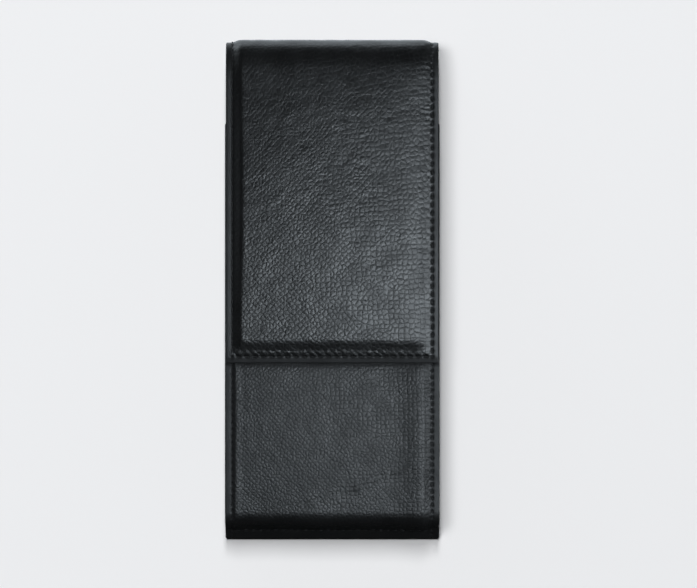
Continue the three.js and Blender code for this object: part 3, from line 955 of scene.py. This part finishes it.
def pebbled_leather(name, sheen):
    """Black leather embossed with a pebbled grain. The grain attribute is its depth, 0 on a smooth border.
    The shade attribute is painted shade that darkens the colour in the furrows and other shaded places, the
    creases between pebbles get painted shade too, and sheen is the roughness of the pebbles' tops."""
    n = Nodes(name)
    flat = n.sheet()
    drift = n.noise(flat, 0.45, 2.0, output=1)
    carried = {"operation": "MULTIPLY_ADD"}
    moved = n.add("ShaderNodeVectorMath", settings=carried, i0=drift, i1=WANDER, i2=flat)
    grain = n.attribute("grain")
    shade = n.attribute("shade")
    straight = n.cells(n.scaled(moved, 1.04 / PEBBLE, 1.12 / PEBBLE), 1.0, 0.6)
    spun = n.add("ShaderNodeVectorRotate", settings={"rotation_type": "Z_AXIS"}, i0=moved, i3=PEBBLE_SPIN)
    aslant = n.cells(n.scaled(spun, 1.2 / PEBBLE, 1.2 / PEBBLE), 1.0, 0.6)
    from_right = n.math("MULTIPLY", n.add("ShaderNodeSeparateXYZ", i0=flat), -0.006)
    patch = n.map(n.math("ADD", n.noise(flat, 0.07, 2.0), from_right), 0.62, 0.66)
    cell = n.add("ShaderNodeMix", settings={"data_type": "FLOAT"}, i0=patch, i2=straight, i3=aslant)
    small = n.cells(n.scaled(moved, 2.1 / PEBBLE, 2.3 / PEBBLE), 1.0, 0.9)
    crease = n.map(cell, 0.0, 0.12)
    dome = n.map(cell, 0.0, 0.45)
    wrinkles = n.map(small, 0.0, 0.16)
    fine_share = n.map(n.noise(flat, 0.21, 2.0), 0.4, 0.7, 0.05, 0.32)
    height = n.math("ADD", crease, n.math("MULTIPLY", dome, 2.6))
    height = n.math("ADD", height, n.math("MULTIPLY", wrinkles, fine_share))
    height = n.math("ADD", height, n.math("MULTIPLY", n.noise(flat, 0.9, 1.0), 0.15))
    height = n.math("MULTIPLY", height, grain)
    height = n.math("ADD", height, n.math("MULTIPLY", n.noise(flat, 4.0, 3.0), 0.14))
    border = n.map(grain, 0.0, 0.3, 1.0, 0.0)
    # painted shade: the creases between pebbles are darkened, as is all that the shade attribute darkens
    crease_shade = n.math("MULTIPLY", n.map(crease, 0, 1, 0.5, 1.0), n.map(wrinkles, 0, 1, 0.85, 1.0))
    lit = n.math("MULTIPLY", n.math("MAXIMUM", crease_shade, border), shade)
    # painted shade: colour goes to the shaded black in creases, furrows and the other painted places
    colour = n.mix(lit, SHADED_BLACK, UNSHADED_BLACK)
    rough = n.map(lit, 0.0, 1.0, 0.70, sheen)
    rough = n.math("ADD", rough, n.map(n.noise(flat, 0.12, 3.0), 0.3, 0.7, -0.04, 0.04))
    rough = n.math("ADD", rough, n.math("MULTIPLY", border, 0.14))
    normal = n.bump(height, PEBBLE_RELIEF * MM)
    return n.shade(Base_Color=colour, Roughness=rough, Specular_IOR_Level=0.5, Normal=normal)


def fine_leather(name, tone, rough, relief=0.05):
    """Thin smooth leather with a fine natural grain, for gussets, facings and linings."""
    n = Nodes(name)
    flat = n.sheet()
    cell = n.cells(n.scaled(flat, 1.6, 1.3), 1.0, 1.0)
    grains = n.map(cell, 0.0, 0.2)
    pores = n.noise(flat, 4.5, 4.0)
    height = n.math("ADD", grains, n.math("MULTIPLY", pores, 0.8))
    dark = tuple(0.45 * c for c in tone) + (1,)
    colour = n.mix(n.math("MULTIPLY", grains, n.map(pores, 0.3, 0.6, 0.7, 1.0)), dark, (*tone, 1))
    rough = n.map(n.noise(flat, 0.3, 3.0), 0.3, 0.7, rough - 0.07, rough + 0.07)
    normal = n.bump(height, relief * MM)
    return n.shade(Base_Color=colour, Roughness=rough, Specular_IOR_Level=0.4, Normal=normal)


def edge_paint():
    """Black edge dressing, rubbed smooth, with faint lines along the layers."""
    n = Nodes("edge_paint")
    place = n.add("ShaderNodeTexCoord", output=3)
    streaks = n.add("ShaderNodeTexNoise", i0=place, i2=900.0, i3=3.0)
    worn = n.add("ShaderNodeTexNoise", i0=place, i2=160.0, i3=2.0)
    colour = n.mix(n.map(worn, 0.45, 0.75), (0.003, 0.0032, 0.0034, 1), (0.008, 0.0084, 0.0088, 1))
    rough = n.map(streaks, 0.3, 0.7, 0.46, 0.62)
    return n.shade(Base_Color=colour, Roughness=rough, Normal=n.bump(streaks, 0.04 * MM))


def waxed_thread():
    """Black twisted thread, its plies a little worn."""
    n = Nodes("waxed_thread")
    place = n.add("ShaderNodeTexCoord", output=3)
    twist = {"bands_direction": "DIAGONAL"}
    ply = n.add("ShaderNodeTexWave", settings=twist, i0=place, i1=1900.0, i2=1.5)
    wear = n.add("ShaderNodeTexNoise", i0=place, i2=500.0, i3=2.0)
    colour = n.mix(n.math("MULTIPLY", ply, wear), (0.004, 0.0042, 0.0046, 1), (0.012, 0.0126, 0.0135, 1))
    rough = n.map(ply, 0.0, 1.0, 0.72, 0.52)
    return n.shade(Base_Color=colour, Roughness=rough, Normal=n.bump(ply, 0.05 * MM))


def plain_fibre(name, dark, light, scale):
    """Board and foam: matt, with a fibrous or open mottle."""
    n = Nodes(name)
    place = n.add("ShaderNodeTexCoord", output=3)
    mottle = n.add("ShaderNodeTexNoise", i0=place, i2=scale, i3=6.0)
    colour = n.mix(n.map(mottle, 0.35, 0.65), dark, light)
    rough = n.map(mottle, 0.3, 0.7, 0.85, 0.97)
    return n.shade(Base_Color=colour, Roughness=rough, Normal=n.bump(mottle, 0.1 * MM))


# ---------------- put together

hide = pebbled_leather("hide_leather", sheen=0.33)
rubbed_hide = pebbled_leather("rubbed_hide_leather", sheen=0.43)
gusset_leather = fine_leather("gusset_leather", (0.013, 0.0135, 0.0145), 0.5)
lining_leather = fine_leather("lining_leather", (0.042, 0.042, 0.043), 0.62, 0.04)
flesh = fine_leather("flesh_side", (0.03, 0.028, 0.026), 0.85)
paint = edge_paint()
thread = waxed_thread()
board = plain_fibre("bookbinders_board", (0.05, 0.045, 0.035, 1), (0.09, 0.08, 0.065, 1), 1500.0)
foam = plain_fibre("padding_foam", (0.02, 0.02, 0.021, 1), (0.05, 0.05, 0.052, 1), 2600.0)

# Each fold turns between two points, given here with the bodies on either side. This script doesn't bend
# anything with them: a piece given one only keeps its place in the frame.
LOWER_BLEND = ("pocket", "spine", (0, (TOP_Y - 2.1) * MM, -3.5 * MM), (0, (TOP_Y + 3.0) * MM, 5.8 * MM))
UPPER_BLEND = ("spine", "flap", (0, (TOP_Y + 4.6) * MM, 11.9 * MM), (0, (TOP_Y - 0.3) * MM, 23.0 * MM))


def finish_piece(obj, materials, nodes, bend=None):
    """Gives a piece its materials and hides the nodes it replaces. It rides on the pocket, or, given a fold,
    keeps its place in the frame, unbent.
    """
    for material in materials:
        obj.data.materials.append(material)
    if bend:
        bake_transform(obj)
    else:
        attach(obj, "pocket")
    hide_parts(*nodes)


hide_sides = (hide, paint, flesh)
rubbed_sides = (rubbed_hide, paint, flesh)
lining_sides = (lining_leather, paint, flesh)
gusset_sides = (gusset_leather, paint, flesh)
spine_threads = ("spine_thread_left", "spine_thread_right")

flap = make_flap()
finish_piece(flap, hide_sides, ["flap_outer", "spine_outer"], UPPER_BLEND)
finish_piece(make_back(), hide_sides, ["back_outer", "spine_outer"], LOWER_BLEND)
finish_piece(make_front(), rubbed_sides, ["front_outer"])
finish_piece(make_flap_lining(), lining_sides, ["flap_lining", "spine_lining"], UPPER_BLEND)
finish_piece(make_back_lining(), lining_sides, ["back_lining", "spine_lining"], LOWER_BLEND)
finish_piece(make_front_lining(), lining_sides, ["front_lining"])
finish_piece(make_mouth_facing(), hide_sides, ["mouth_facing"])
for side, way in (("left", -1), ("right", 1)):
    piece = make_gusset(f"gusset_{side}_leather", way)
    finish_piece(piece, gusset_sides, [f"gusset_{side}"])
finish_piece(make_flap_stitches(), [thread], ["flap_thread", *spine_threads], UPPER_BLEND)
finish_piece(make_back_stitches(), [thread], ["back_thread", *spine_threads], LOWER_BLEND)
finish_piece(make_mouth_stitches(), [thread], ["mouth_thread"])
finish_piece(make_bottom_stitches(), [thread], ["bottom_thread"])
for side, x in (("left", -SEAM_X), ("right", SEAM_X)):
    piece = make_front_stitches(f"front_stitches_{side}", x)
    finish_piece(piece, [thread], [f"front_thread_{side}"])

for node, material in (
    ("back_board", board),
    ("front_board", board),
    ("joining_strip", gusset_leather),
    ("flap_padding", foam),
):
    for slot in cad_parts[node].material_slots:
        slot.material = material

# ---------------- floor, light and camera


COOL = (0.84, 0.93, 1.0)
LIGHT_DISTANCE = 4.5
LIGHT_POWER = 114
FLOOR_REACH = 30.0
CAMERA_HEIGHT = 2.5  # above the middle of the case
CAMERA_ASIDE = (5.2 * MM, -1.1 * MM)
VIEW_SHARE = 1.394  # the width of the view, in lengths of the case
WALL_WAY = (-0.45, 1, -0.8)
HORIZON_GLOW = 0.3


def area_light(name, shape, size, power):
    """A light that the camera doesn't see."""
    data = bpy.data.lights.new(name, "AREA")
    data.shape = shape
    data.size, data.size_y = size
    data.energy = power
    light = bpy.data.objects.new(name, data)
    light.visible_camera = False
    bpy.context.scene.collection.objects.link(light)
    return light


def soft_light(name, shape, size, aim):
    """A far, soft light that faces the case, and lights it without showing as a reflection."""
    light = area_light(name, shape, size, LIGHT_POWER)
    light.location = Vector(aim).normalized() * LIGHT_DISTANCE
    light.rotation_euler = (-light.location).to_track_quat("-Z", "Y").to_euler()
    light.visible_glossy = False


def card_light(name, xs, ys, height, radiance):
    """A level card overhead that only shows as a reflection. It reaches over xs and ys, in metres."""
    size = (xs[1] - xs[0], ys[1] - ys[0])
    light = area_light(name, "RECTANGLE", size, radiance * math.pi * size[0] * size[1])
    light.data.color = COOL
    light.location = (sum(xs) / 2, sum(ys) / 2, height)
    light.visible_diffuse = False


def make_floor():
    """A pale floor, which the leather doesn't reflect."""
    mesh = bpy.data.meshes.new("floor")
    corners = [(x * FLOOR_REACH, y * FLOOR_REACH, 0) for x, y in ((-1, -1), (1, -1), (1, 1), (-1, 1))]
    mesh.from_pydata(corners, [], [(0, 1, 2, 3)])
    floor = bpy.data.objects.new("floor", mesh)
    floor.location.z = -0.02 * MM
    floor.visible_glossy = False
    bpy.context.scene.collection.objects.link(floor)
    n = Nodes("pale_floor")
    n.shade(Base_Color=(0.80, 0.806, 0.82, 1), Roughness=1.0, Specular_IOR_Level=0.0)
    mesh.materials.append(n.material)


def make_camera():
    """Straight above the case, a little to its right, as a long lens sees it."""
    data = bpy.data.cameras.new("camera")
    camera = bpy.data.objects.new("camera", data)
    view_width = VIEW_SHARE * (cad_high.y - cad_low.y)
    data.sensor_width = 36.0
    data.lens = data.sensor_width * CAMERA_HEIGHT / view_width
    data.clip_end = 100
    camera.location = (*CAMERA_ASIDE, CAMERA_HEIGHT + cad_high.z / 2)
    bpy.context.scene.collection.objects.link(camera)
    bpy.context.scene.camera = camera


def make_world():
    """A dark room with a pale wall behind the fold, low down, and a faint glow along the horizon."""
    world = bpy.data.worlds.new("studio")
    bpy.context.scene.world = world
    world.use_nodes = True
    tree = world.node_tree
    background = tree.nodes["Background"]
    background.inputs["Color"].default_value = (*COOL, 1)

    def add(kind, operation, *inputs):
        node = tree.nodes.new(kind)
        if operation:
            node.operation = operation
        for socket, value in zip(node.inputs, inputs):
            if isinstance(value, bpy.types.NodeSocket):
                tree.links.new(value, socket)
            elif value is not None:
                socket.default_value = value
        return node

    def ramp(value, *limits):
        node = add("ShaderNodeMapRange", None, value, *limits)
        node.interpolation_type = "SMOOTHSTEP"
        return node.outputs[0]

    way = add("ShaderNodeTexCoord", None).outputs["Generated"]
    lean = add("ShaderNodeVectorMath", "DOT_PRODUCT", way, WALL_WAY).outputs["Value"]
    wall = ramp(lean, 0.75, 1.05, 0.015, 2.5)
    rise = add("ShaderNodeVectorMath", "DOT_PRODUCT", way, (0, 0, 1)).outputs["Value"]
    off_level = add("ShaderNodeMath", "ABSOLUTE", rise).outputs[0]
    towards_end = add("ShaderNodeVectorMath", "DOT_PRODUCT", way, (0, -1, 0)).outputs["Value"]
    glow = ramp(off_level, 0.12, 0.55, HORIZON_GLOW, 0.0)
    glow = add("ShaderNodeMath", "MULTIPLY", glow, ramp(towards_end, 0.3, 0.8, 1.0, 0.1)).outputs[0]
    total = add("ShaderNodeMath", "ADD", wall, glow).outputs[0]
    tree.links.new(total, background.inputs["Strength"])


make_floor()
make_world()
soft_light("key", "ELLIPSE", (1.88, 1.88), aim=(-0.20, 0.14, 1))
soft_light("back_light", "RECTANGLE", (0.45, 1.5), aim=(0.0, 0.62, 1))
card_light("front_card", (-0.015, 0.60), (-0.095, 0.022), height=0.36, radiance=8.35)
make_camera()
bpy.context.scene.view_settings.view_transform = "Standard"
